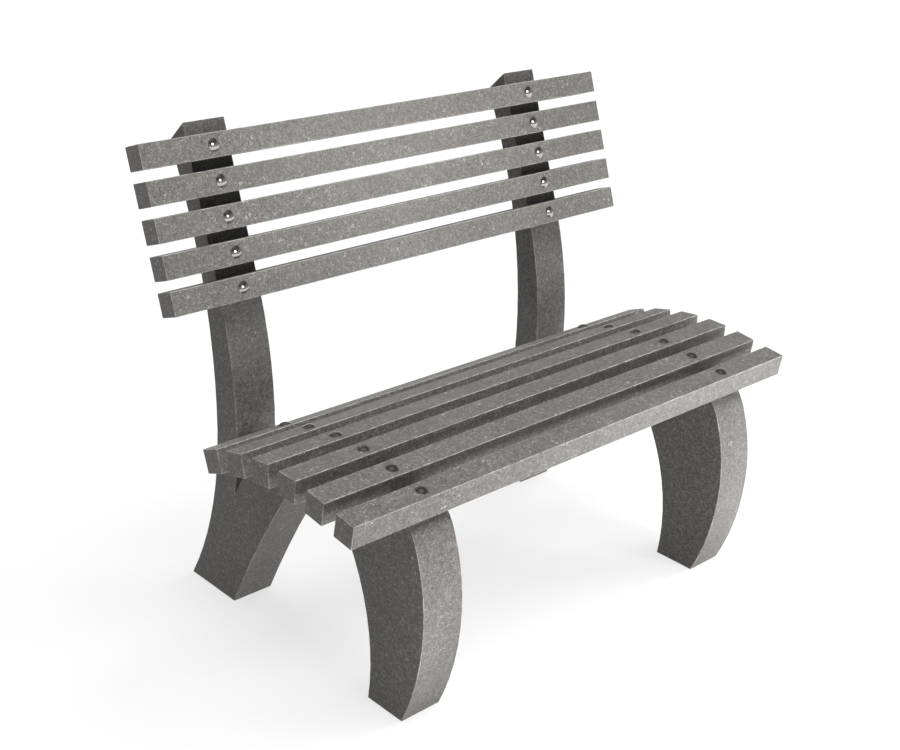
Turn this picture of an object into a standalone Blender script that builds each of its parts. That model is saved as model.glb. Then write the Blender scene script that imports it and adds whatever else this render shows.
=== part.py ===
"""Garden bench with a backrest, in recycled plastic.

Two moulded side frames carry five back slats and six seat slats, all square bars. Each back slat
is held by two carriage bolts with a washer and a nut at the back of the post, and each seat slat by
two screws.

Metres, +Z up. The sitter faces -Y, X runs along the slats, and the origin is on the ground under
the middle of the bench.
"""

from math import acos, asin, atan2, ceil, cos, pi, radians, sin, sqrt, tan

import bmesh
import bpy
from mathutils import Matrix, Vector

# ---- Driving dimensions --------------------------------------------------------------------------

GAP = 0.0003                    # air left between two pieces that touch

SLAT_SIDE = 0.046               # every slat is a square bar
SLAT_EDGE = 0.0008              # chamfer along the edges of the bars
BACK_SLAT_LENGTH = 1.200
BACK_SLAT_SHIFT = 0.0065        # middle of the back slats along X
SEAT_SLAT_LENGTH = 1.187
SEAT_SLAT_SHIFT = -0.0130       # middle of the seat slats along X

FRAME_THICKNESS = 0.0925
FRAME_SPACING = 0.838           # between the middle planes of the two frames
BOLT_LINES = {"left": -0.438, "right": 0.393}

# Backrest: the slats lie in one plane that leans back.
BACK_SLATS = 5
BACK_LEAN = radians(19.5)
BACK_PITCH = 0.0668
BACK_TOP = Vector((0.2766, 0.9506))     # upper front corner of the top slat, as depth and height

# Seat: the tops of the slats follow an arc, then a straight slope down to the front edge.
SEAT_SLATS = 6
SEAT_RADIUS = 0.5834
SEAT_APEX = Vector((-0.1580, 0.4816))
SEAT_PITCH = 0.0777             # along the curve
SEAT_REAR_REACH = 0.2182        # along the curve, from the apex back to the rearmost slat
SEAT_SLOPE = radians(8.04)      # of the straight front stretch

# Side frame outline, as depth and height. A waist is where a curved edge runs upright.
REAR_WAIST = Vector((0.2373, 0.368))
REAR_RADIUS_ABOVE = 1.167
REAR_RADIUS_BELOW = 0.727
POST_TOP_HEIGHT = 0.961
POST_REAR_HEIGHT = 0.918        # the top is cut off sloping, down to the rear
POST_WAIST_HEIGHT = 0.367
POST_RADIUS_ABOVE = 0.852
POST_RADIUS_BELOW = 0.642
NOTCH_HEIGHT = 0.249
NOTCH_LEAN = radians(30.7)
BEARER_HEEL_RADIUS = 0.030      # rounded rear end of the seat bearer
FRONT_WAIST = Vector((-0.3750, 0.219))
FRONT_RADIUS_ABOVE = 0.408
FRONT_RADIUS_BELOW = 0.530
SHOULDER_HEIGHT = 0.370
SHOULDER_RADIUS = 0.119
INNER_WAIST = Vector((-0.2378, 0.0614))
INNER_RADIUS = 0.465
REAR_LEG_TOE = 0.1886           # where the rear leg's front edge meets the ground
REAR_LEG_LEAN = radians(25.0)
REAR_LEG_RADIUS = 2.6
ARCH_HEIGHT = 0.3475
ARCH_RADIUS = 0.088
CHORD_ERROR = 0.00035           # how far a facet may stray from its arc

# Fasteners.
HEAD_RADIUS = 0.01235
HEAD_HEIGHT = 0.0054
SHANK_RADIUS = 0.0049
NECK_SIDE = 0.0104
NECK_DEPTH = 0.0060
CLEARANCE_RADIUS = 0.0056       # bores in the slats and the posts
BACK_GRIP = 0.030               # post material between its front and the washer
POCKET_RADIUS = 0.013
WASHER_RADIUS = 0.010
WASHER_THICKNESS = 0.0020
NUT_WIDTH = 0.0165              # across the flats
NUT_THICKNESS = 0.0080
THREAD_RADIUS = 0.0053          # bore of the washers and nuts
BOLT_END = 0.0025               # how far a bolt stands out of its nut
SCREW_LENGTH = 0.100
SCREW_TIP = 0.010
PILOT_RADIUS = 0.0053
PILOT_SPARE = 0.002             # how much deeper the blind holes are than the screws
BOLT_CHAMFER = 0.001            # at the end of a bolt
BOLT_TIP_SHARE = 0.8            # radius of a bolt's end, as a share of its shank
SCREW_TIP_SHARE = 0.3           # radius of a screw's point, as a share of its shank
ROUND_STEPS = 16
DOME_STEPS = 4
OVERRUN = 0.01                  # how far a cutter reaches past the surface it opens
SHARP = radians(30)             # edges sharper than this stay crisp

PLASTIC = ((0.115, 0.110, 0.105), 0.55, 0.0)
FRAME_PLASTIC = ((0.100, 0.096, 0.093), 0.55, 0.0)
POLISHED = ((0.80, 0.80, 0.81), 0.12, 1.0)
ZINC = ((0.55, 0.56, 0.58), 0.35, 1.0)


# ---- Scene and materials -------------------------------------------------------------------------

def clear_scene():
    """Remove every object of the file."""
    for old in list(bpy.data.objects):
        bpy.data.objects.remove(old, do_unlink=True)


def new_collection(name):
    """Add a collection to the scene."""
    collection = bpy.data.collections.new(name)
    bpy.context.scene.collection.children.link(collection)
    return collection


def new_material(name, look):
    """A plain surface with a colour, a roughness and a metallic value."""
    colour, roughness, metallic = look
    material = bpy.data.materials.new(name)
    material.use_nodes = True
    shader = material.node_tree.nodes["Principled BSDF"]
    shader.inputs["Base Color"].default_value = (*colour, 1.0)
    shader.inputs["Roughness"].default_value = roughness
    shader.inputs["Metallic"].default_value = metallic
    return material


def add_piece(name, mesh, look, place=Matrix()):
    """A visible piece of the bench, with a material of its own."""
    piece = bpy.data.objects.new(name, mesh)
    mesh.materials.clear()
    mesh.materials.append(new_material(name, look))
    piece.matrix_world = place
    bench.objects.link(piece)
    return piece


def cut(piece, mesh, place, operation="DIFFERENCE"):
    """Cut a shape out of a piece, or join it on, with a Boolean modifier."""
    tool = bpy.data.objects.new(piece.name + "_cutter", mesh)
    tool.matrix_world = place
    tool.hide_render = True
    tool.display_type = "WIRE"
    cutters.objects.link(tool)
    modifier = piece.modifiers.new("cut", "BOOLEAN")
    modifier.operation = operation
    modifier.object = tool
    modifier.solver = "EXACT"


# ---- Meshes --------------------------------------------------------------------------------------

def box_mesh(name, size_x, size_y, bottom, top):
    """A box around the Z axis, from bottom to top."""
    work = bmesh.new()
    middle = Matrix.Translation((0, 0, (bottom + top) / 2))
    bmesh.ops.create_cube(work, size=1, matrix=middle @ Matrix.Diagonal((size_x, size_y, top - bottom, 1)))
    mesh = bpy.data.meshes.new(name)
    work.to_mesh(mesh)
    work.free()
    return mesh


def rod_mesh(name, radius, bottom, top, sides=ROUND_STEPS):
    """A solid cylinder or prism around the Z axis, from bottom to top."""
    work = bmesh.new()
    middle = Matrix.Translation((0, 0, (bottom + top) / 2))
    bmesh.ops.create_cone(work, cap_ends=True, segments=sides, radius1=radius, radius2=radius,
                          depth=top - bottom, matrix=middle)
    mesh = bpy.data.meshes.new(name)
    work.to_mesh(mesh)
    work.free()
    return mesh


def turned_piece(name, profile, look, place):
    """A piece turned around the Z axis from (radius, height) points, top to bottom."""
    mesh = bpy.data.meshes.new(name)
    points = [(radius, 0.0, height) for radius, height in profile]
    edges = [(index, index + 1) for index in range(len(points) - 1)]
    mesh.from_pydata(points, edges, [])
    piece = add_piece(name, mesh, look, place)
    screw = piece.modifiers.new("turn", "SCREW")
    screw.axis = "Z"
    screw.steps = ROUND_STEPS
    screw.render_steps = ROUND_STEPS
    screw.use_merge_vertices = True
    screw.merge_threshold = 0.00005
    screw.use_smooth_shade = False
    return piece


# ---- Where the slats lie -------------------------------------------------------------------------

def facing(depth, height, tilt):
    """Placement whose Z axis is a slat's outward normal: 0 faces up, 90 degrees faces the front."""
    return Matrix.Translation((0, depth, height)) @ Matrix.Rotation(tilt, 4, "X")


def back_places():
    """Middle of each back slat's front face, from the top slat down."""
    along = Vector((sin(BACK_LEAN), cos(BACK_LEAN)))
    places = []
    for number in range(BACK_SLATS):
        depth, height = BACK_TOP - along * (SLAT_SIDE / 2 + BACK_PITCH * number)
        places.append(facing(depth, height, pi / 2 - BACK_LEAN))
    return places


def seat_places():
    """Middle of each seat slat's top face, from the rearmost slat to the front."""
    slope_start = SEAT_RADIUS * SEAT_SLOPE
    places = []
    for number in range(SEAT_SLATS):
        reach = SEAT_PITCH * number - SEAT_REAR_REACH
        tilt = min(reach / SEAT_RADIUS, SEAT_SLOPE)
        straight = max(reach - slope_start, 0.0)
        depth = SEAT_APEX.x - SEAT_RADIUS * sin(tilt) - straight * cos(tilt)
        height = SEAT_APEX.y - SEAT_RADIUS * (1 - cos(tilt)) - straight * sin(tilt)
        places.append(facing(depth, height, tilt))
    return places


# ---- Side frame outline --------------------------------------------------------------------------

def arc(centre, radius, start, end):
    """Points of an arc between two angles, close enough to keep the chord error."""
    step = 2 * acos(1 - CHORD_ERROR / radius)
    count = max(2, ceil(abs(end - start) / step))
    angles = [start + (end - start) * index / count for index in range(count + 1)]
    return [centre + radius * Vector((cos(angle), sin(angle))) for angle in angles]


def edge_arc(waist, radius, from_height, to_height):
    """Arc that runs upright at its waist and bends to the rear above and below it."""
    centre = waist + Vector((radius, 0))
    start = pi - asin((from_height - waist.y) / radius)
    end = pi - asin((to_height - waist.y) / radius)
    return arc(centre, radius, start, end)


def angle_from(centre, point):
    """Direction of a point seen from a centre, between 0 and a full turn."""
    return atan2(point.y - centre.y, point.x - centre.x) % (2 * pi)


def rear_edge():
    """Rear of the back post and rear leg, from the ground up to the sloping top cut."""
    below = edge_arc(REAR_WAIST, REAR_RADIUS_BELOW, 0.0, REAR_WAIST.y)
    above = edge_arc(REAR_WAIST, REAR_RADIUS_ABOVE, REAR_WAIST.y, POST_REAR_HEIGHT)
    return below + above[1:]


def post_front():
    """Front of the back post, from its top down to the tip of the notch."""
    along = Vector((sin(BACK_LEAN), cos(BACK_LEAN)))
    normal = Vector((cos(BACK_LEAN), -sin(BACK_LEAN)))
    on_post = BACK_TOP + normal * (SLAT_SIDE + GAP)
    top = on_post + along * (POST_TOP_HEIGHT - on_post.y) / along.y
    bend_height = POST_WAIST_HEIGHT + POST_RADIUS_ABOVE * sin(BACK_LEAN)
    bend = on_post + along * (bend_height - on_post.y) / along.y
    waist = Vector((bend.x - POST_RADIUS_ABOVE * (1 - cos(BACK_LEAN)), POST_WAIST_HEIGHT))
    above = edge_arc(waist, POST_RADIUS_ABOVE, bend_height, POST_WAIST_HEIGHT)
    below = edge_arc(waist, POST_RADIUS_BELOW, POST_WAIST_HEIGHT, NOTCH_HEIGHT)
    return [top] + above + below[1:]


def bearer_heel(tip, first_flat):
    """Rounded rear end of the seat bearer, between the notch wall and the rearmost flat."""
    wall = Vector((sin(NOTCH_LEAN), -cos(NOTCH_LEAN)))
    rear, front = first_flat
    onward = (front - rear).normalized()
    corner = tip + wall * (rear - tip).cross(onward) / wall.cross(onward)
    turn = wall.angle(onward)
    setback = BEARER_HEEL_RADIUS / tan(turn / 2)
    centre = corner + (wall + onward).normalized() * BEARER_HEEL_RADIUS / sin(turn / 2)
    start = angle_from(centre, corner + wall * setback)
    end = angle_from(centre, corner + onward * setback)
    return arc(centre, BEARER_HEEL_RADIUS, start, end)


def seat_edge():
    """Top of the seat bearer: one flat under each slat, from the rear to the front."""
    points = []
    for place in seat_places():
        for side in (1, -1):
            corner = place @ Vector((0, side * SLAT_SIDE / 2, -SLAT_SIDE - GAP))
            points.append(Vector((corner.y, corner.z)))
    return points


def front_edge(last_flat):
    """Shoulder and front of the front leg, from the seat down to the ground."""
    waist_centre = FRONT_WAIST + Vector((FRONT_RADIUS_ABOVE, 0))
    shoulder_angle = pi - asin((SHOULDER_HEIGHT - FRONT_WAIST.y) / FRONT_RADIUS_ABOVE)
    outward = Vector((cos(shoulder_angle), sin(shoulder_angle)))
    centre = waist_centre + outward * (FRONT_RADIUS_ABOVE - SHOULDER_RADIUS)
    rear, front = last_flat
    onward = (front - rear).normalized()
    nearest = rear + onward * (centre - rear).dot(onward)
    half_chord = sqrt(SHOULDER_RADIUS ** 2 - (nearest - centre).length_squared)
    corner = nearest + onward * half_chord
    shoulder = arc(centre, SHOULDER_RADIUS, angle_from(centre, corner), shoulder_angle)
    above = edge_arc(FRONT_WAIST, FRONT_RADIUS_ABOVE, SHOULDER_HEIGHT, FRONT_WAIST.y)
    below = edge_arc(FRONT_WAIST, FRONT_RADIUS_BELOW, FRONT_WAIST.y, 0.0)
    return shoulder + above[1:] + below[1:]


def arch():
    """Underside between the legs: up the front leg, over the crown and down the rear leg."""
    crown_centre_height = ARCH_HEIGHT - ARCH_RADIUS
    leg_centre = INNER_WAIST + Vector((INNER_RADIUS, 0))
    reach = INNER_RADIUS - ARCH_RADIUS
    rise = crown_centre_height - leg_centre.y
    front_centre = Vector((leg_centre.x - sqrt(reach ** 2 - rise ** 2), crown_centre_height))
    front_angle = angle_from(leg_centre, front_centre)
    touch_height = leg_centre.y + INNER_RADIUS * sin(front_angle)
    front = edge_arc(INNER_WAIST, INNER_RADIUS, 0.0, touch_height)
    front += arc(front_centre, ARCH_RADIUS, front_angle, pi / 2)[1:]

    toe = Vector((REAR_LEG_TOE, 0.0))
    rear_centre = toe - REAR_LEG_RADIUS * Vector((cos(REAR_LEG_LEAN), sin(REAR_LEG_LEAN)))
    reach = REAR_LEG_RADIUS - ARCH_RADIUS
    rise = crown_centre_height - rear_centre.y
    crown_centre = Vector((rear_centre.x + sqrt(reach ** 2 - rise ** 2), crown_centre_height))
    rear_angle = angle_from(rear_centre, crown_centre)
    rear = arc(crown_centre, ARCH_RADIUS, pi / 2, rear_angle)
    rear += arc(rear_centre, REAR_LEG_RADIUS, rear_angle, REAR_LEG_LEAN)[1:]
    return front + rear


def frame_outline():
    """The whole outline of a side frame, as depth and height, one turn round."""
    post = post_front()
    seat = seat_edge()
    heel = bearer_heel(post[-1], seat[:2])
    return rear_edge() + post + heel + seat[:-1] + front_edge(seat[-2:]) + arch()


# ---- Pieces --------------------------------------------------------------------------------------

def frame_mesh(side):
    """A slab with the outline of a side frame, drawn flat: depth along X and height along Y."""
    curve = bpy.data.curves.new("frame_" + side, "CURVE")
    curve.dimensions = "2D"
    curve.fill_mode = "BOTH"
    curve.extrude = FRAME_THICKNESS / 2
    curve.render_resolution_u = 0
    outline = frame_outline()
    spline = curve.splines.new("POLY")
    spline.points.add(len(outline) - 1)
    for point, (depth, height) in zip(spline.points, outline):
        point.co = (depth, height, 0.0, 1.0)
    spline.use_cyclic_u = True

    drawn = bpy.data.objects.new("frame_outline_" + side, curve)
    bench.objects.link(drawn)
    bpy.context.view_layer.update()
    evaluated = drawn.evaluated_get(bpy.context.evaluated_depsgraph_get())
    mesh = bpy.data.meshes.new_from_object(evaluated)
    bpy.data.objects.remove(drawn)
    work = bmesh.new()
    work.from_mesh(mesh)
    bmesh.ops.remove_doubles(work, verts=work.verts, dist=0.00005)
    work.to_mesh(mesh)
    work.free()
    return mesh


def make_frame(side, middle):
    """One moulded side frame, drilled for the bolts and screws."""
    upright = Matrix(((0, 0, 1, middle), (1, 0, 0, 0), (0, 1, 0, 0), (0, 0, 0, 1)))
    frame = add_piece("side_frame_" + side, frame_mesh(side), FRAME_PLASTIC, upright)
    line = Matrix.Translation((BOLT_LINES[side], 0, 0))
    deep = -SLAT_SIDE - GAP
    for place in back_places():
        bore = rod_mesh("bore", CLEARANCE_RADIUS, deep - 2 * BACK_GRIP, deep + OVERRUN)
        pocket = rod_mesh("pocket", POCKET_RADIUS, deep - 4 * BACK_GRIP, deep - BACK_GRIP)
        cut(frame, bore, line @ place)
        cut(frame, pocket, line @ place)
    for place in seat_places():
        pilot = rod_mesh("pilot", PILOT_RADIUS, -SCREW_LENGTH - PILOT_SPARE, deep + OVERRUN)
        cut(frame, pilot, line @ place)


def make_slat(name, length, shift, place, bore_radius, square_neck):
    """A square bar with two bores, and a square recess in each where a bolt has a square neck."""
    mesh = box_mesh(name, length, SLAT_SIDE, -SLAT_SIDE, 0.0)
    slat = add_piece(name, mesh, PLASTIC, Matrix.Translation((shift, 0, 0)) @ place)
    chamfer = slat.modifiers.new("edges", "BEVEL")
    chamfer.width = SLAT_EDGE
    chamfer.segments = 1
    for middle in BOLT_LINES.values():
        line = Matrix.Translation((middle, 0, 0))
        cut(slat, rod_mesh("bore", bore_radius, -SLAT_SIDE - OVERRUN, OVERRUN), line @ place)
        if square_neck:
            recess_side = NECK_SIDE + 2 * GAP
            recess = box_mesh("recess", recess_side, recess_side, -NECK_DEPTH - 2 * GAP, OVERRUN)
            cut(slat, recess, line @ place)
    return slat


def dome():
    """Profile of a low domed head, from its crown to the rim of its flat underside."""
    radius = (HEAD_RADIUS ** 2 + HEAD_HEIGHT ** 2) / (2 * HEAD_HEIGHT)
    sweep = asin(HEAD_RADIUS / radius)
    centre = GAP + HEAD_HEIGHT - radius
    angles = [sweep * part / DOME_STEPS for part in range(DOME_STEPS + 1)]
    return [(radius * sin(angle), centre + radius * cos(angle)) for angle in angles]


def make_back_bolt(name, place):
    """A carriage bolt: domed head, square neck and round shank."""
    end = SLAT_SIDE + GAP + BACK_GRIP + WASHER_THICKNESS + NUT_THICKNESS + 2 * GAP + BOLT_END
    tip = SHANK_RADIUS * BOLT_TIP_SHARE
    profile = dome() + [(SHANK_RADIUS, GAP), (SHANK_RADIUS, -end + BOLT_CHAMFER),
                        (tip, -end), (0.0, -end)]
    bolt = turned_piece(name, profile, POLISHED, place)
    neck = box_mesh("neck", NECK_SIDE, NECK_SIDE, -NECK_DEPTH, GAP + HEAD_HEIGHT / 4)
    cut(bolt, neck, place, "UNION")


def make_seat_screw(name, place):
    """A domed screw with a plain shank and a tapered tip."""
    tip = SHANK_RADIUS * SCREW_TIP_SHARE
    profile = dome() + [(SHANK_RADIUS, GAP), (SHANK_RADIUS, -SCREW_LENGTH + SCREW_TIP),
                        (tip, -SCREW_LENGTH), (0.0, -SCREW_LENGTH)]
    turned_piece(name, profile, POLISHED, place)


def make_washer(name, place):
    """A flat ring at the floor of a pocket."""
    top = -SLAT_SIDE - GAP - BACK_GRIP - GAP
    mesh = rod_mesh(name, WASHER_RADIUS, top - WASHER_THICKNESS, top)
    washer = add_piece(name, mesh, ZINC, place)
    cut(washer, rod_mesh("bore", THREAD_RADIUS, top - OVERRUN, top + OVERRUN), place)


def make_nut(name, place):
    """A hexagon nut behind its washer."""
    top = -SLAT_SIDE - BACK_GRIP - WASHER_THICKNESS - 3 * GAP
    mesh = rod_mesh(name, NUT_WIDTH / 2 / cos(pi / 6), top - NUT_THICKNESS, top, sides=6)
    nut = add_piece(name, mesh, ZINC, place)
    cut(nut, rod_mesh("bore", THREAD_RADIUS, top - 2 * OVERRUN, top + OVERRUN), place)


def shade_pieces():
    """Smooth shading on every piece, with sharp edges kept crisp."""
    for piece in bench.objects:
        piece.data.shade_smooth()
        piece.data.set_sharp_from_angle(angle=SHARP)


def build():
    """Make every piece of the bench."""
    for side, direction in (("left", -1), ("right", 1)):
        make_frame(side, direction * FRAME_SPACING / 2)
    for number, place in enumerate(back_places(), start=1):
        make_slat(f"back_slat_{number}", BACK_SLAT_LENGTH, BACK_SLAT_SHIFT, place, CLEARANCE_RADIUS, True)
        for side, middle in BOLT_LINES.items():
            on_line = Matrix.Translation((middle, 0, 0)) @ place
            make_back_bolt(f"back_bolt_{side}_{number}", on_line)
            make_washer(f"back_washer_{side}_{number}", on_line)
            make_nut(f"back_nut_{side}_{number}", on_line)
    for number, place in enumerate(seat_places(), start=1):
        make_slat(f"seat_slat_{number}", SEAT_SLAT_LENGTH, SEAT_SLAT_SHIFT, place, PILOT_RADIUS, False)
        for side, middle in BOLT_LINES.items():
            make_seat_screw(f"seat_screw_{side}_{number}", Matrix.Translation((middle, 0, 0)) @ place)
    shade_pieces()


clear_scene()
bench = new_collection("garden_bench")
cutters = new_collection("cutters")
build()
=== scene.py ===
from math import asin, cos, pi, radians, sin, sqrt, tan, tau

import bmesh
import bpy
import numpy as np
from mathutils import Matrix, Vector


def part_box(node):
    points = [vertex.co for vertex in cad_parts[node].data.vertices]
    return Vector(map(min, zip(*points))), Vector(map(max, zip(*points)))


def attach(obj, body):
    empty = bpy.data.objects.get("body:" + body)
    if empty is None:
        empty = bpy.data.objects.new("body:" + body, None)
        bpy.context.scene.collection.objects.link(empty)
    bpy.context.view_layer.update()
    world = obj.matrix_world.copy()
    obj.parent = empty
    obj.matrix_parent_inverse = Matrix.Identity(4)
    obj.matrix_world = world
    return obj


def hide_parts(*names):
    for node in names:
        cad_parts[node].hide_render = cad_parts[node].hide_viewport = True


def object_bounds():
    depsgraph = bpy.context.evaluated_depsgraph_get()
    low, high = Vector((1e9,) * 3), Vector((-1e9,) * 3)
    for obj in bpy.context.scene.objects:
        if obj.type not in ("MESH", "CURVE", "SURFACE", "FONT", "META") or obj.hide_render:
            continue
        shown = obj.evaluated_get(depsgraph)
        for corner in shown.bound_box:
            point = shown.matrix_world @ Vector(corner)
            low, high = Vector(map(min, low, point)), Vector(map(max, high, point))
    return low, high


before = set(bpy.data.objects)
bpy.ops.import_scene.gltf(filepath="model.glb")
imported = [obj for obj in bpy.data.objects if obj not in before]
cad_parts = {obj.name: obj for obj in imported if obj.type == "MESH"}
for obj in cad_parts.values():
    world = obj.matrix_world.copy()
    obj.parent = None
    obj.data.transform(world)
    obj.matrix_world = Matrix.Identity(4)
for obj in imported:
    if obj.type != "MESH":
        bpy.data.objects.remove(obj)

# The finished garden bench: a detailed piece for each piece of the CAD, their materials, a plain studio
# and the camera. Metres, +Z up. The sitter faces -Y.

CAD_LOW, CAD_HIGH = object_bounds()

# Edges and surfaces, in metres.
FRAME_EDGE = 0.0013             # rounding along the outline of the side frames
FRAME_EDGE_STEPS = 3
SLAT_EDGE = 0.0004              # rounding of the two corners of each slat's chamfer
SLAT_EDGE_STEPS = 2
CHAMFER_WIDTH = 0.0015          # strips along a slat's edges are narrower than this
CHAMFER_LENGTH = 0.03           # and longer than this
CHAMFER_TURN = radians(30)      # a chamfer turns more than this from the faces beside it
CORNER_TURN = radians(60)       # a square corner turns more than this
SIDE_FACING = 0.99              # how nearly the normal of a frame's side face follows X
AXIS_FACING = 0.95              # how nearly the normals of a slat's main faces follow its axes
SHARP = radians(40)             # edges that turn more than this aren't shaded smooth
FLAT = radians(0.6)             # faces that turn less than this from each other are one flat face
WELD = 0.00002                  # vertices nearer to each other than this are one

# Fasteners, in metres. Their places and lengths come from the CAD.
CAD_GAP = 0.0003                # air that the CAD leaves between two pieces that touch
ROUND_STEPS = 48
DOME_STEPS = 7
CROWN_STEP = 0.25               # size of the innermost step of a dome, next to the other steps
HEAD_RADIUS = 0.01235
HEAD_HEIGHT = 0.0054
HEAD_RIM = 0.0006               # upright rim under the dome of a head
RIM_BEVEL_HEIGHT = HEAD_RIM * 0.3
RIM_BEVEL_WIDTH = HEAD_RIM * 0.4
SHANK_RADIUS = 0.0049
NECK_SIDE = 0.0104
NECK_DEPTH = 0.0060
NECK_CORNER = 0.94              # corner radius of the neck, as a share of a sharp corner's
NECK_RUNOUT = 0.0010
BOLT_PITCH = 0.0015
BOLT_THREAD = 0.026             # threaded length of a back bolt
BOLT_THREAD_DEPTH = 0.0008
BOLT_CHAMFER = 0.0010
SCREW_PITCH = 0.0040
SCREW_THREAD = 0.050
SCREW_THREAD_DEPTH = 0.0012
SCREW_TIP = 0.010
SCREW_TIP_RADIUS = SHANK_RADIUS * 0.3
STEPS_PER_PITCH = 6
BORE_RADIUS = 0.0053            # of the nuts and washers
BORE_CHAMFER = 0.0007
NUT_WIDTH = 0.0165              # across the flats
NUT_THICKNESS = 0.0080
NUT_CHAMFER_START = 0.95        # where the chamfer starts, as a share of the distance to a flat
NUT_CHAMFER_SLOPE = radians(30)
WASHER_RADIUS = 0.010
WASHER_THICKNESS = 0.0020
WASHER_ROUND = 0.0004           # rounding of the punched face
WASHER_BURR = 0.0002            # smaller rounding of the other face

# The two plastics: their grey, how strongly the pale flecks show, and the strength of the sheen, where
# 0.5 is ordinary plastic.
FRAME_GREY = 0.084
FRAME_FLECK = 0.65
FRAME_GLOSS = 0.27
SLAT_GREY = 0.094
SLAT_FLECK = 1.0
SLAT_GLOSS = 0.42

# Tones in the plastic, in red, green and blue, next to its grey.
SHADE_TINT = (1.0, 0.95, 0.895)
DEEP_TINT = (0.50, 0.47, 0.44)
PALE_TINT = (2.60, 2.52, 2.38)
PALE_LIFT = 0.05                # added to the pale tone
DARK_TINT = (0.20, 0.19, 0.19)

# How fine the patterns in the plastic are, in repeats to a metre.
CLOUDS = 9.0
WAVES = 16.0
DRIFTS = 24.0
# Patches along the edges where the pale paint shows, which is wear and a painted edge highlight.
EDGE_WEAR_AND_HIGHLIGHT_PATCHES = 55.0
MOTTLE = 120.0
BROAD_FLECKS = 125.0
DARK_SPECKS = 150.0
PITS = 165.0
SMALL_FLECKS = 260.0
GRAIN = 380.0
RAGGED_FINENESS = 2.4           # how much finer the outline of a fleck is than the fleck
FLECK_FADE = (-0.03, 0.05)      # where a fleck starts and ends to fade in, in cell sizes

# Metals: a bright and a dull tone, and repeats to a metre of their smears and of their finest marks.
STEEL_BRIGHT = (0.52, 0.515, 0.50)
STEEL_DULL = (0.38, 0.375, 0.365)
STEEL_SMEARS = 160.0
STEEL_MARKS = 1500.0
ZINC_BRIGHT = (0.60, 0.61, 0.62)
ZINC_DULL = (0.33, 0.34, 0.35)
ZINC_PATCHES = 260.0
ZINC_MARKS = 1800.0

WHITE = (1.0, 1.0, 1.0, 1.0)

# Studio floor: matte, and glowing a little so that shadows on it stay faint.
FLOOR_REACH = 30.0
FLOOR_GAP = 0.0003              # between the floor and the feet
FLOOR_CLOUDS = 0.8              # repeats to a metre
FLOOR_TONE = 0.17
FLOOR_GLOW = 0.71

# Brightness of the sky that lights the bench. The camera itself sees white.
SKY = 0.05

# The sky that shows in reflections: heights from 0 at the horizon to 1 overhead, each with its tone.
MIRRORED_SKY = ((0.0, 0.42), (0.35, 0.27), (0.62, 0.09), (0.84, 0.09), (1.0, 0.24))

# Far soft lights: name, azimuth, elevation and spread in degrees, and strength.
# Azimuth 0 is in front and 90 is to the right. The sparkle shows in reflections and does nothing else.
# The suns don't show in reflections.
SPARKLE = ("sparkle", -2, 30, 24, 0.9)
SUNS = (
    ("overhead", 0, 80, 35, 3.4),
    ("right", 65, 50, 35, 3.4),
    ("far_right", 100, 30, 35, 0.3),
    ("rear", 180, 25, 50, 0.9),
)

# Softboxes: name, place, the point it faces, size, spread in degrees and power in watts.
PANELS = (
    ("low_front", (0.6, -2.8, 0.3), (0.0, -0.2, 0.25), 1.2, 180, 42.0),
    ("low_side", (2.8, -1.2, 0.7), (0.0, -0.2, 0.3), 1.2, 180, 58.0),
    ("back_fill", (1.2, -2.3, 0.3), (-0.06, 0.25, 0.86), 0.5, 22, 2.1),
    ("bounce_right", (0.6, -0.95, 0.02), (0.6, -0.95, 1.0), 0.7, 180, 17.0),
    ("bounce_left", (-0.42, -0.85, 0.02), (-0.42, -0.85, 1.0), 0.6, 180, 9.0),
    ("foot_right", (0.75, -1.2, 0.30), (0.52, -0.36, 0.05), 0.3, 30, 0.8),
    ("foot_left", (-0.45, -1.2, 0.30), (-0.50, -0.36, 0.05), 0.3, 30, 0.35),
)

# Camera: where it stands, how it is turned, in degrees, and its lens and sensor in millimetres.
CAMERA_PLACE = Vector((-1.9189, -1.8999, 1.6159))
CAMERA_AZIMUTH = -44.27
CAMERA_ELEVATION = 23.47
CAMERA_ROLL = 2.859
CAMERA_LENS = 57.73
SENSOR_WIDTH = 36.0


# ---- Material nodes ------------------------------------------------------------------------------

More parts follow.
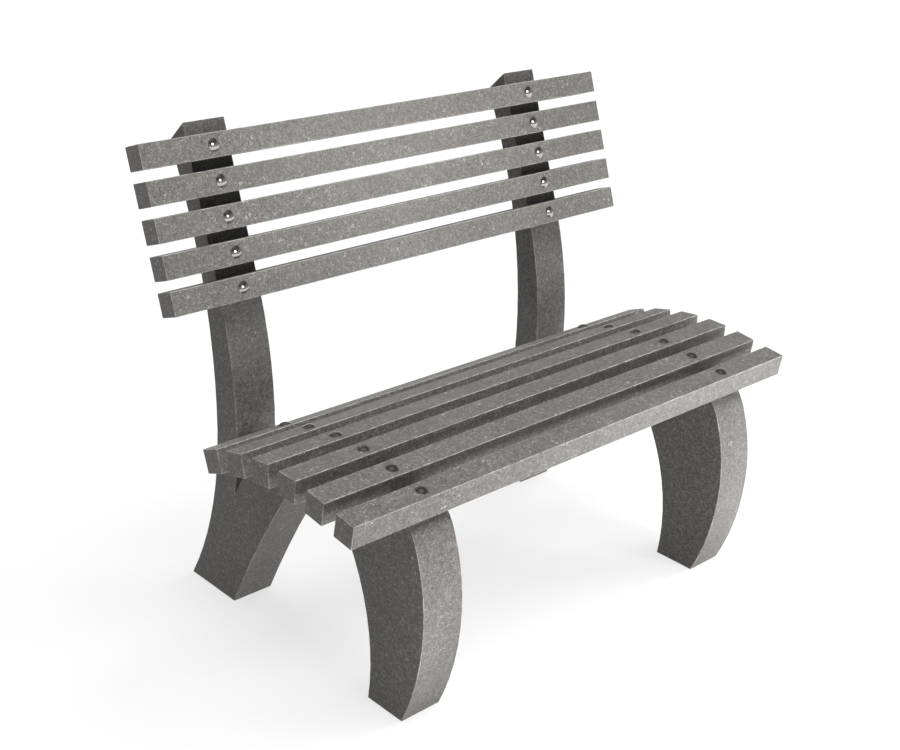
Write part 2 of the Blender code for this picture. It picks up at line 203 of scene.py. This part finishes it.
class Nodes:
    """Short calls for building a material's node tree."""

    def __init__(self, name):
        self.material = bpy.data.materials.new(name)
        self.material.use_nodes = True
        self.tree = self.material.node_tree
        self.shader = self.tree.nodes["Principled BSDF"]

    def add(self, kind, **settings):
        """Add a node and set its properties."""
        node = self.tree.nodes.new(kind)
        for key, value in settings.items():
            setattr(node, key, value)
        return node

    def put(self, value, socket):
        """Feed a socket from a number, a colour or another node's output."""
        if isinstance(value, bpy.types.NodeSocket):
            self.tree.links.new(value, socket)
        else:
            socket.default_value = value

    def place(self):
        """Position in the object's own space, in metres."""
        return self.add("ShaderNodeTexCoord").outputs["Object"]

    def noise(self, place, scale, detail, roughness=0.5):
        """Smooth noise with a value from 0 to 1."""
        node = self.add("ShaderNodeTexNoise")
        self.put(place, node.inputs["Vector"])
        node.inputs["Scale"].default_value = scale
        node.inputs["Detail"].default_value = detail
        node.inputs["Roughness"].default_value = roughness
        return node

    def cells(self, place, scale):
        """Scattered cells: a distance to each cell's point and a random colour for each cell."""
        node = self.add("ShaderNodeTexVoronoi")
        self.put(place, node.inputs["Vector"])
        node.inputs["Scale"].default_value = scale
        return node

    def math(self, operation, first, second):
        """One arithmetic step."""
        node = self.add("ShaderNodeMath", operation=operation)
        self.put(first, node.inputs[0])
        self.put(second, node.inputs[1])
        return node.outputs[0]

    def between(self, value, low, high, bottom=0.0, top=1.0):
        """Map a value from one range to another, held at its ends."""
        node = self.add("ShaderNodeMapRange")
        for socket, number in zip(node.inputs, (value, low, high, bottom, top)):
            self.put(number, socket)
        return node.outputs["Result"]

    def mix(self, share, first, second):
        """Mix two colours."""
        node = self.add("ShaderNodeMix", data_type="RGBA")
        self.put(share, node.inputs["Factor"])
        self.put(first, node.inputs["A"])
        self.put(second, node.inputs["B"])
        return node.outputs["Result"]

    def bump(self, height, distance, strength, normal=None):
        """Surface relief from a height."""
        node = self.add("ShaderNodeBump")
        node.inputs["Distance"].default_value = distance
        node.inputs["Strength"].default_value = strength
        self.put(height, node.inputs["Height"])
        if normal is not None:
            self.put(normal, node.inputs["Normal"])
        return node.outputs["Normal"]


def opaque(tone):
    """A colour as the sockets want it, with its alpha."""
    return (*tone, 1.0)


def flecks(nodes, place, scale, share, size, ragged):
    """Irregular specks: a share of the cells hold one, each of its own size."""
    wander = nodes.noise(place, scale * RAGGED_FINENESS, 2.0)
    offset = nodes.add("ShaderNodeVectorMath", operation="MULTIPLY_ADD")
    nodes.put(wander.outputs["Color"], offset.inputs[0])
    offset.inputs[1].default_value = (ragged / scale,) * 3
    nodes.put(place, offset.inputs[2])
    cells = nodes.cells(offset.outputs["Vector"], scale)
    chance = nodes.add("ShaderNodeSeparateColor")
    nodes.put(cells.outputs["Color"], chance.inputs["Color"])
    chosen = nodes.between(chance.outputs["Red"], 1 - share, 1.0, 0.0, size)
    inside = nodes.math("SUBTRACT", chosen, cells.outputs["Distance"])
    return nodes.between(inside, *FLECK_FADE)


def plastic_colour(nodes, place, grey, fleck, wear_and_edge_highlight):
    """Warm grey, finely grained, with pale flecks in drifts, dark specks, and pale edges that are wear
    and a painted edge highlight.
    """
    shade = opaque(grey * share for share in SHADE_TINT)
    deep = opaque(grey * share for share in DEEP_TINT)
    pale = opaque(grey * share + PALE_LIFT for share in PALE_TINT)
    dark = opaque(grey * share for share in DARK_TINT)

    clouds = nodes.noise(place, CLOUDS, 4.0, 0.6).outputs["Fac"]
    mottle = nodes.noise(place, MOTTLE, 3.0, 0.7).outputs["Fac"]
    grain = nodes.noise(place, GRAIN, 3.0, 0.75).outputs["Fac"]
    # Low values of the mottle and the grain darken the shade, and high ones lighten it.
    colour = nodes.mix(nodes.between(clouds, 0.35, 0.65, 0.0, 0.28), shade, deep)
    colour = nodes.mix(nodes.between(mottle, 0.32, 0.52, 0.45, 0.0), colour, deep)
    colour = nodes.mix(nodes.between(mottle, 0.50, 0.72, 0.0, 0.28), colour, pale)
    colour = nodes.mix(nodes.between(grain, 0.34, 0.50, 0.75, 0.0), colour, deep)
    colour = nodes.mix(nodes.between(grain, 0.53, 0.70, 0.0, 0.48), colour, pale)

    drift = nodes.noise(place, DRIFTS, 3.0, 0.65).outputs["Fac"]
    broad = nodes.math("MULTIPLY", flecks(nodes, place, BROAD_FLECKS, 0.34, 0.38, 2.0),
                       nodes.between(drift, 0.42, 0.62, 0.15 * fleck, 0.95 * fleck))
    small = nodes.math("MULTIPLY", flecks(nodes, place, SMALL_FLECKS, 0.36, 0.46, 1.8),
                       nodes.between(drift, 0.35, 0.60, 0.30 * fleck, 0.75 * fleck))
    specks = flecks(nodes, place, DARK_SPECKS, 0.26, 0.36, 0.9)
    colour = nodes.mix(small, colour, pale)
    colour = nodes.mix(broad, colour, pale)
    colour = nodes.mix(nodes.math("MULTIPLY", specks, 0.75), colour, dark)
    # Pale along the edge faces: wear, and a painted highlight along the edges.
    nodes.put(nodes.mix(wear_and_edge_highlight, colour, pale), nodes.shader.inputs["Base Color"])
    return grain, broad


def recycled_plastic(name, grey, fleck, gloss):
    """Mixed recycled plastic, a little glossier on its flecks, and duller along its edges where they
    are worn; the edges are also painted pale, as wear and as a painted edge highlight.
    """
    nodes = Nodes(name)
    place = nodes.place()
    # The edge faces, in patches: duller for wear, and painted pale as wear and as a painted edge
    # highlight.
    edge = nodes.add("ShaderNodeAttribute", attribute_name="edge").outputs["Fac"]
    patches = nodes.noise(place, EDGE_WEAR_AND_HIGHLIGHT_PATCHES, 3.0, 0.7).outputs["Fac"]
    wear_and_edge_highlight = nodes.math("MULTIPLY", edge, nodes.between(patches, 0.42, 0.60, 0.30, 1.0))
    grain, broad = plastic_colour(nodes, place, grey, fleck, wear_and_edge_highlight)

    roughness = nodes.between(grain, 0.25, 0.75, 0.42, 0.58)
    roughness = nodes.math("SUBTRACT", roughness, nodes.math("MULTIPLY", broad, 0.10))
    roughness = nodes.math("ADD", roughness, nodes.math("MULTIPLY", wear_and_edge_highlight, 0.12))
    nodes.put(roughness, nodes.shader.inputs["Roughness"])
    nodes.shader.inputs["Specular IOR Level"].default_value = gloss

    pits = flecks(nodes, place, PITS, 0.10, 0.30, 0.6)
    height = nodes.math("SUBTRACT", nodes.math("MULTIPLY", grain, 0.6), pits)
    height = nodes.math("ADD", height, nodes.math("MULTIPLY", broad, 0.25))
    relief = nodes.bump(height, 0.0004, 0.35)
    waves = nodes.noise(place, WAVES, 2.0).outputs["Fac"]
    nodes.put(nodes.bump(waves, 0.004, 0.10, relief), nodes.shader.inputs["Normal"])
    return nodes.material


def polished_steel(name):
    """Polished stainless steel with faint handling marks."""
    nodes = Nodes(name)
    place = nodes.place()
    smears = nodes.noise(place, STEEL_SMEARS, 4.0, 0.65).outputs["Fac"]
    fine = nodes.noise(place, STEEL_MARKS, 2.0).outputs["Fac"]
    smeared = nodes.between(smears, 0.42, 0.68, 0.0, 0.5)
    colour = nodes.mix(smeared, opaque(STEEL_BRIGHT), opaque(STEEL_DULL))
    nodes.put(colour, nodes.shader.inputs["Base Color"])
    nodes.put(nodes.between(smears, 0.35, 0.70, 0.08, 0.17), nodes.shader.inputs["Roughness"])
    nodes.shader.inputs["Metallic"].default_value = 1.0
    nodes.put(nodes.bump(fine, 0.00005, 0.12), nodes.shader.inputs["Normal"])
    return nodes.material


def zinc_plate(name):
    """Zinc plated steel, mottled and a little dull."""
    nodes = Nodes(name)
    place = nodes.place()
    patches = nodes.noise(place, ZINC_PATCHES, 4.0, 0.7).outputs["Fac"]
    fine = nodes.noise(place, ZINC_MARKS, 2.0).outputs["Fac"]
    colour = nodes.mix(nodes.between(patches, 0.35, 0.68), opaque(ZINC_BRIGHT), opaque(ZINC_DULL))
    nodes.put(colour, nodes.shader.inputs["Base Color"])
    nodes.put(nodes.between(patches, 0.3, 0.7, 0.28, 0.48), nodes.shader.inputs["Roughness"])
    nodes.shader.inputs["Metallic"].default_value = 1.0
    nodes.put(nodes.bump(fine, 0.0001, 0.25), nodes.shader.inputs["Normal"])
    return nodes.material


# ---- Plastic pieces ------------------------------------------------------------------------------

def clean_copy(node):
    """The node's solid as a bmesh, with its split vertices joined and its flat faces whole."""
    work = bmesh.new()
    work.from_mesh(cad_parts[node].data)
    bmesh.ops.remove_doubles(work, verts=work.verts, dist=WELD)
    bmesh.ops.dissolve_limit(work, angle_limit=FLAT, verts=work.verts, edges=work.edges)
    return work


def round_edges(work, edges, width, segments):
    """Round some edges, and mark the new narrow faces as edge faces, which the plastic paints pale as
    wear and as a painted edge highlight.
    """
    mark = work.faces.layers.float.new("edge")
    made = bmesh.ops.bevel(work, geom=edges, offset=width, offset_type="OFFSET", segments=segments,
                           profile=0.5, affect="EDGES", clamp_overlap=True)
    for face in made["faces"]:
        face[mark] = 1.0
    return mark


def finish_piece(work, node, material):
    """Turn a bmesh into a smooth-shaded piece that stands for a CAD node."""
    name = node + "_finished"
    mesh = bpy.data.meshes.new(name)
    work.to_mesh(mesh)
    work.free()
    mesh.materials.append(material)
    mesh.shade_smooth()
    mesh.set_sharp_from_angle(angle=SHARP)
    piece = bpy.data.objects.new(name, mesh)
    bpy.context.scene.collection.objects.link(piece)
    weights = piece.modifiers.new("normals", "WEIGHTED_NORMAL")
    weights.keep_sharp = True
    weights.weight = 100        # the large faces decide the shading
    stand_for(piece, node)


def stand_for(piece, node):
    """Show a piece in place of a CAD node, on the one body that the bench has."""
    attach(piece, "root")
    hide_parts(node)


def make_frame(node, material):
    """A side frame with its outline edges rounded."""
    work = clean_copy(node)
    outline = [edge for edge in work.edges
               if edge.calc_face_angle() > CORNER_TURN
               and any(abs(face.normal.x) > SIDE_FACING for face in edge.link_faces)]
    round_edges(work, outline, FRAME_EDGE, FRAME_EDGE_STEPS)
    finish_piece(work, node, material)


def make_slat(node, material):
    """A slat with its chamfered edges rounded over."""
    work = clean_copy(node)
    broad = max(work.faces, key=lambda face: face.calc_area()).normal.copy()
    along = Vector((1, 0, 0))
    axes = (along, broad, broad.cross(along))
    chamfer = {face for face in work.faces if is_chamfer(face, axes)}
    corners = [edge for edge in work.edges
               if CHAMFER_TURN < edge.calc_face_angle() < CORNER_TURN
               and any(face in chamfer for face in edge.link_faces)]
    mark = round_edges(work, corners, SLAT_EDGE, SLAT_EDGE_STEPS)
    # The chamfers are marked too, so they are painted pale as wear and as a painted edge highlight.
    for face in work.faces:
        if is_chamfer(face, axes):
            face[mark] = 1.0
    finish_piece(work, node, material)


def is_chamfer(face, axes):
    """Whether a face is one of the narrow slanting strips along a slat's edges."""
    longest = max(edge.calc_length() for edge in face.edges)
    slanting = all(abs(face.normal.dot(axis)) < AXIS_FACING for axis in axes)
    narrow = face.calc_area() < longest * CHAMFER_WIDTH
    return slanting and narrow and longest > CHAMFER_LENGTH


# ---- Fasteners -----------------------------------------------------------------------------------

def axis_place(node):
    """Placement and length of a CAD bolt or screw.

    The origin is at the crown of the head and Z points outward along the axis.
    """
    points = np.array([vertex.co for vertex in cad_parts[node].data.vertices])
    points = np.unique(points.round(6), axis=0)
    middle = points.mean(axis=0)
    spread = points - middle
    # The points are spread most along the axis, and the head is where they lie farthest from it.
    outward = np.linalg.svd(spread, full_matrices=False)[2][0]
    heights = spread @ outward
    widths = np.linalg.norm(spread - np.outer(heights, outward), axis=1)
    if heights[widths.argmax()] < 0:
        outward, heights = -outward, -heights
    outward = Vector(outward)
    across = Vector((1, 0, 0))
    turn = Matrix((across, outward.cross(across), outward)).transposed().to_4x4()
    crown = Vector(middle) + outward * heights.max()
    return Matrix.Translation(crown) @ turn, heights.max() - heights.min()


def box_place(node, turn):
    """Placement at the middle of a nut or washer, turned like its bolt."""
    low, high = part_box(node)
    return Matrix.Translation((low + high) / 2) @ turn


def ring_mesh(name, rings, sides, closed=False):
    """A surface through rings, each of which gives a radius and a height for an angle.

    An open surface is capped at both ends, and a closed one joins its last ring to its first.
    """
    work = bmesh.new()
    angles = [tau * index / sides for index in range(sides)]
    loops = []
    for ring in rings:
        points = [(angle, *ring(angle)) for angle in angles]
        loops.append([work.verts.new((radius * cos(angle), radius * sin(angle), height))
                      for angle, radius, height in points])
    pairs = list(zip(loops, loops[1:]))
    if closed:
        pairs.append((loops[-1], loops[0]))
    for upper, lower in pairs:
        for index in range(sides):
            after = (index + 1) % sides
            work.faces.new((upper[index], lower[index], lower[after], upper[after]))
    if not closed:
        for loop in (loops[0], loops[-1]):
            pole = work.verts.new((0, 0, loop[0].co.z))
            for index in range(sides):
                work.faces.new((pole, loop[index], loop[(index + 1) % sides]))
    bmesh.ops.recalc_face_normals(work, faces=work.faces)
    mesh = bpy.data.meshes.new(name)
    work.to_mesh(mesh)
    work.free()
    mesh.shade_smooth()
    mesh.set_sharp_from_angle(angle=SHARP)
    return mesh


def circle(radius, height):
    """A round, level ring."""
    return lambda angle: (radius, height)


def square(side, corner, height):
    """A level square ring with rounded corners."""
    def ring(angle):
        reach = side / 2 / max(abs(cos(angle)), abs(sin(angle)))
        return min(reach, corner), height
    return ring


def dome_rings():
    """Low domed head: crown at height 0, a short upright rim, then the flat underside."""
    rise = HEAD_HEIGHT - HEAD_RIM
    radius = (HEAD_RADIUS ** 2 + rise ** 2) / (2 * rise)
    sweep = asin(HEAD_RADIUS / radius)
    steps = [part + CROWN_STEP for part in range(DOME_STEPS + 1)]
    angles = [sweep * step / steps[-1] for step in steps]
    rings = [circle(radius * sin(angle), radius * cos(angle) - radius) for angle in angles]
    rings.append(circle(HEAD_RADIUS, -HEAD_HEIGHT + RIM_BEVEL_HEIGHT))
    rings.append(circle(HEAD_RADIUS - RIM_BEVEL_WIDTH, -HEAD_HEIGHT))
    return rings


def thread_ring(height, crest, pitch, depth):
    """One ring of a helical thread: once around, it runs from the crest down to the root and back."""
    def ring(angle):
        turn = (height / pitch + angle / tau) % 1.0
        return crest - depth * abs(turn * 2 - 1), height
    return ring


def thread_rings(start, end, pitch, depth, tip_radius=SHANK_RADIUS):
    """Rings of a thread between two heights, narrowing to the tip's radius over its last stretch."""
    count = round((start - end) / pitch * STEPS_PER_PITCH)
    rings = []
    for index in range(count + 1):
        height = start + (end - start) * index / count
        narrowing = min(max((end + SCREW_TIP - height) / SCREW_TIP, 0.0), 1.0)
        crest = SHANK_RADIUS + (tip_radius - SHANK_RADIUS) * narrowing
        rings.append(thread_ring(height, crest, pitch, depth))
    return rings


def bolt_mesh(length):
    """Carriage bolt: domed head, square neck, plain shank, thread and a chamfered end."""
    under = -HEAD_HEIGHT
    corner = NECK_SIDE / sqrt(2) * NECK_CORNER
    neck_end = under - CAD_GAP - NECK_DEPTH
    thread_start = -length + BOLT_THREAD
    thread_end = -length + BOLT_CHAMFER
    rings = dome_rings()
    rings += [square(NECK_SIDE, corner, height) for height in (under, neck_end + NECK_RUNOUT)]
    rings += [circle(SHANK_RADIUS, height) for height in (neck_end, thread_start)]
    rings += thread_rings(thread_start, thread_end, BOLT_PITCH, BOLT_THREAD_DEPTH)
    rings.append(circle(SHANK_RADIUS - BOLT_THREAD_DEPTH, -length))
    return ring_mesh("carriage_bolt", rings, ROUND_STEPS)


def screw_mesh(length):
    """Domed screw: plain shank, then a coarse thread that tapers to its tip."""
    thread_start = -length + SCREW_THREAD
    rings = dome_rings()
    rings += [circle(SHANK_RADIUS, height) for height in (-HEAD_HEIGHT, thread_start)]
    rings += thread_rings(thread_start, -length, SCREW_PITCH, SCREW_THREAD_DEPTH, SCREW_TIP_RADIUS)
    return ring_mesh("domed_screw", rings, ROUND_STEPS)


def nut_mesh(width, thickness, bore):
    """Hexagon nut, its corners chamfered at both ends and its bore countersunk."""
    half = thickness / 2
    inner = width / 2 * NUT_CHAMFER_START

    def hexagon(sign):
        """The outline of the nut where its flats meet a chamfer."""
        def ring(angle):
            radius = width / 2 / cos((angle + pi / 6) % (pi / 3) - pi / 6)
            return radius, sign * (half - (radius - inner) * tan(NUT_CHAMFER_SLOPE))
        return ring

    rings = [circle(bore + BORE_CHAMFER, half), circle(inner, half), hexagon(1)]
    rings += [hexagon(-1), circle(inner, -half), circle(bore + BORE_CHAMFER, -half)]
    rings += [circle(bore, -half + BORE_CHAMFER), circle(bore, half - BORE_CHAMFER)]
    return ring_mesh("hexagon_nut", rings, ROUND_STEPS, closed=True)


def washer_mesh(radius, thickness, bore):
    """Punched washer, rounded over on its outer edges."""
    half = thickness / 2
    rings = [circle(bore, half), circle(radius - WASHER_ROUND, half)]
    rings += [circle(radius, half - WASHER_ROUND), circle(radius, -half + WASHER_BURR)]
    rings += [circle(radius - WASHER_BURR, -half), circle(bore, -half)]
    return ring_mesh("washer", rings, ROUND_STEPS, closed=True)


def put_fastener(node, mesh, place):
    """Show a detailed fastener in place of its CAD node."""
    piece = bpy.data.objects.new(node + "_finished", mesh)
    bpy.context.scene.collection.objects.link(piece)
    piece.matrix_world = place
    stand_for(piece, node)


def make_fasteners(polished, zinc):
    """Every bolt, screw, nut and washer, each an object of its own."""
    bolt = bolt_mesh(axis_place("back_bolt_left_1")[1])
    screw = screw_mesh(axis_place("seat_screw_left_1")[1])
    washer = washer_mesh(WASHER_RADIUS, WASHER_THICKNESS, BORE_RADIUS)
    nut = nut_mesh(NUT_WIDTH, NUT_THICKNESS, BORE_RADIUS)
    for mesh, material in ((bolt, polished), (screw, polished), (washer, zinc), (nut, zinc)):
        mesh.materials.append(material)
    for node in sorted(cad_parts):
        if node.startswith("back_bolt"):
            place = axis_place(node)[0]
            turn = place.to_3x3().to_4x4()
            washer_node = node.replace("bolt", "washer")
            nut_node = node.replace("bolt", "nut")
            put_fastener(node, bolt, place)
            put_fastener(washer_node, washer, box_place(washer_node, turn))
            put_fastener(nut_node, nut, box_place(nut_node, turn))
        elif node.startswith("seat_screw"):
            put_fastener(node, screw, axis_place(node)[0])


# ---- Studio --------------------------------------------------------------------------------------

def floor_paint(name):
    """Matte paint, faintly clouded and glowing a little."""
    nodes = Nodes(name)
    clouds = nodes.noise(nodes.place(), FLOOR_CLOUDS, 2.0).outputs["Fac"]
    darker, lighter = opaque((FLOOR_TONE * 0.99,) * 3), opaque((FLOOR_TONE,) * 3)
    nodes.put(nodes.mix(clouds, darker, lighter), nodes.shader.inputs["Base Color"])
    nodes.shader.inputs["Emission Color"].default_value = WHITE
    nodes.shader.inputs["Emission Strength"].default_value = FLOOR_GLOW
    nodes.shader.inputs["Roughness"].default_value = 0.9
    nodes.shader.inputs["Specular IOR Level"].default_value = 0.1
    return nodes.material


def make_floor():
    """A wide, pale, matte floor under the feet."""
    mesh = bpy.data.meshes.new("studio_floor")
    work = bmesh.new()
    bmesh.ops.create_grid(work, x_segments=1, y_segments=1, size=FLOOR_REACH)
    work.to_mesh(mesh)
    work.free()
    floor = bpy.data.objects.new("studio_floor", mesh)
    floor.location.z = CAD_LOW.z - FLOOR_GAP
    bpy.context.scene.collection.objects.link(floor)
    mesh.materials.append(floor_paint("pale_floor"))


def direction(azimuth, elevation):
    """Unit vector from the bench towards a light or camera: azimuth 0 is in front, 90 to the right."""
    turn, rise = radians(azimuth), radians(elevation)
    return Vector((sin(turn) * cos(rise), -cos(turn) * cos(rise), sin(rise)))


def add_soft_sun(name, azimuth, elevation, spread, strength, mirrored=False):
    """A large, far, soft light from one side, which either lights the bench or is mirrored in it."""
    light = bpy.data.lights.new(name, "SUN")
    light.energy = strength
    light.angle = radians(spread)
    lamp = bpy.data.objects.new(name, light)
    lamp.rotation_euler = direction(azimuth, elevation).to_track_quat("Z", "Y").to_euler()
    lamp.visible_glossy = mirrored
    lamp.visible_diffuse = not mirrored
    bpy.context.scene.collection.objects.link(lamp)


def add_panel(name, place, target, size, spread, power):
    """A square softbox that isn't itself seen or mirrored."""
    light = bpy.data.lights.new(name, "AREA")
    light.size = size
    light.spread = radians(spread)
    light.energy = power
    lamp = bpy.data.objects.new(name, light)
    lamp.location = place
    lamp.rotation_euler = (Vector(place) - Vector(target)).to_track_quat("Z", "Y").to_euler()
    lamp.visible_camera = False
    lamp.visible_glossy = False
    bpy.context.scene.collection.objects.link(lamp)


def mirrored_sky(tree):
    """Brightness of the sky by its height, as reflections show it."""
    toward = tree.nodes.new("ShaderNodeTexCoord")
    split = tree.nodes.new("ShaderNodeSeparateXYZ")
    tree.links.new(toward.outputs["Generated"], split.inputs["Vector"])
    fade = tree.nodes.new("ShaderNodeValToRGB")
    tree.links.new(split.outputs["Z"], fade.inputs["Fac"])
    stops = fade.color_ramp.elements
    for height, _ in MIRRORED_SKY[1:-1]:
        stops.new(height)
    for stop, (height, tone) in zip(stops, MIRRORED_SKY):
        stop.position = height
        stop.color = opaque((tone,) * 3)
    return fade.outputs["Color"]


def make_world():
    """White where the camera sees past the floor, graded in reflections, and dim for the rest."""
    world = bpy.data.worlds.new("studio_world")
    bpy.context.scene.world = world
    world.use_nodes = True
    tree = world.node_tree
    background = tree.nodes["Background"]
    background.inputs["Color"].default_value = WHITE

    path = tree.nodes.new("ShaderNodeLightPath")
    glossy = tree.nodes.new("ShaderNodeMix")
    tree.links.new(path.outputs["Is Glossy Ray"], glossy.inputs["Factor"])
    glossy.inputs["A"].default_value = SKY
    tree.links.new(mirrored_sky(tree), glossy.inputs["B"])
    seen = tree.nodes.new("ShaderNodeMix")
    tree.links.new(path.outputs["Is Camera Ray"], seen.inputs["Factor"])
    tree.links.new(glossy.outputs["Result"], seen.inputs["A"])
    seen.inputs["B"].default_value = 1.0
    tree.links.new(seen.outputs["Result"], background.inputs["Strength"])


def make_lights():
    """Soft studio light, strongest from above and from the front right."""
    make_world()
    add_soft_sun(*SPARKLE, mirrored=True)
    for sun in SUNS:
        add_soft_sun(*sun)
    for panel in PANELS:
        add_panel(*panel)


def make_camera():
    """The camera, above the seat and to the front left, and slightly rolled."""
    back = direction(CAMERA_AZIMUTH, CAMERA_ELEVATION)
    level = Vector((0, 0, 1)).cross(back).normalized()
    upright = back.cross(level)
    roll = radians(CAMERA_ROLL)
    right = level * cos(roll) + upright * sin(roll)
    above = upright * cos(roll) - level * sin(roll)
    camera = bpy.data.objects.new("studio_camera", bpy.data.cameras.new("studio_camera"))
    camera.data.lens = CAMERA_LENS
    camera.data.sensor_width = SENSOR_WIDTH
    camera.data.clip_end = FLOOR_REACH * 4
    turn = Matrix((right, above, back)).transposed().to_4x4()
    camera.matrix_world = Matrix.Translation(CAMERA_PLACE) @ turn
    bpy.context.scene.collection.objects.link(camera)
    bpy.context.scene.camera = camera


# ---- The bench -----------------------------------------------------------------------------------

def make_bench():
    """Replace every CAD node with its finished piece."""
    frame_plastic = recycled_plastic("frame_plastic_finish", FRAME_GREY, FRAME_FLECK, FRAME_GLOSS)
    slat_plastic = recycled_plastic("slat_plastic_finish", SLAT_GREY, SLAT_FLECK, SLAT_GLOSS)
    for node in sorted(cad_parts):
        if node.startswith("side_frame"):
            make_frame(node, frame_plastic)
        elif "slat" in node:
            make_slat(node, slat_plastic)
    make_fasteners(polished_steel("polished_steel_finish"), zinc_plate("zinc_plate_finish"))


bpy.context.scene.view_settings.view_transform = "Standard"
make_bench()
make_floor()
make_lights()
make_camera()
